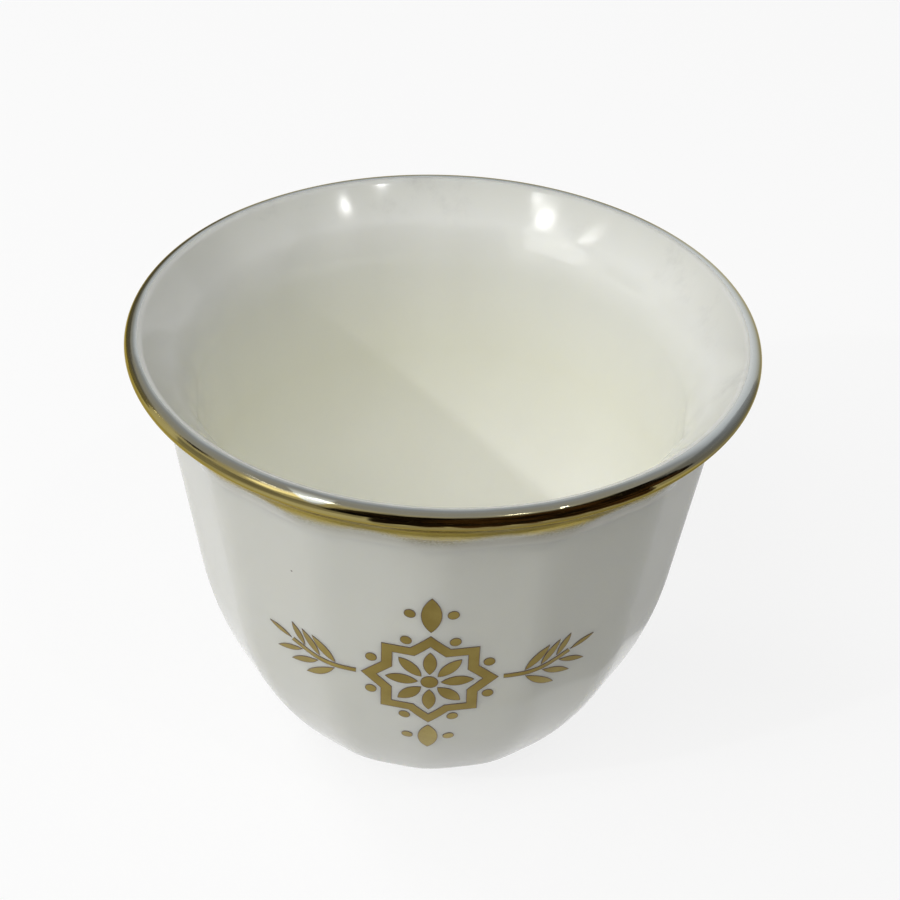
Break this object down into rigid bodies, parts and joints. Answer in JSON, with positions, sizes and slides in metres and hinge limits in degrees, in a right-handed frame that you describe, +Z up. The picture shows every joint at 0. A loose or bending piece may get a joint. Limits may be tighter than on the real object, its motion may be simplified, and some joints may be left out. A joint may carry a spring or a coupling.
{
  "type": "arabic coffee cup",
  "caption": "Small handleless coffee cup of white glazed porcelain with a flared gilded lip, a softly panelled wall, a foot ring and a gold star ornament with leaf sprays.",
  "frame": {"origin": "middle of the foot ring's standing face", "axes": "+Z up along the cup's axis, -Y towards the ridge that carries the gold ornament"},
  "size_m": [0.0662, 0.0662, 0.0514],
  "materials": {
    "porcelain": "gloss",
    "bright_gold": "polished",
    "satin_gold": "satin"
  },
  "bodies": {
    "root": {"cup_body": "porcelain", "lip_gilding": "bright_gold", "star_band": "satin_gold", "star_flower": "satin_gold", "tip_leaves": "satin_gold", "beads": "satin_gold", "left_spray": "satin_gold", "right_spray": "satin_gold"}
  },
  "joints": []
}
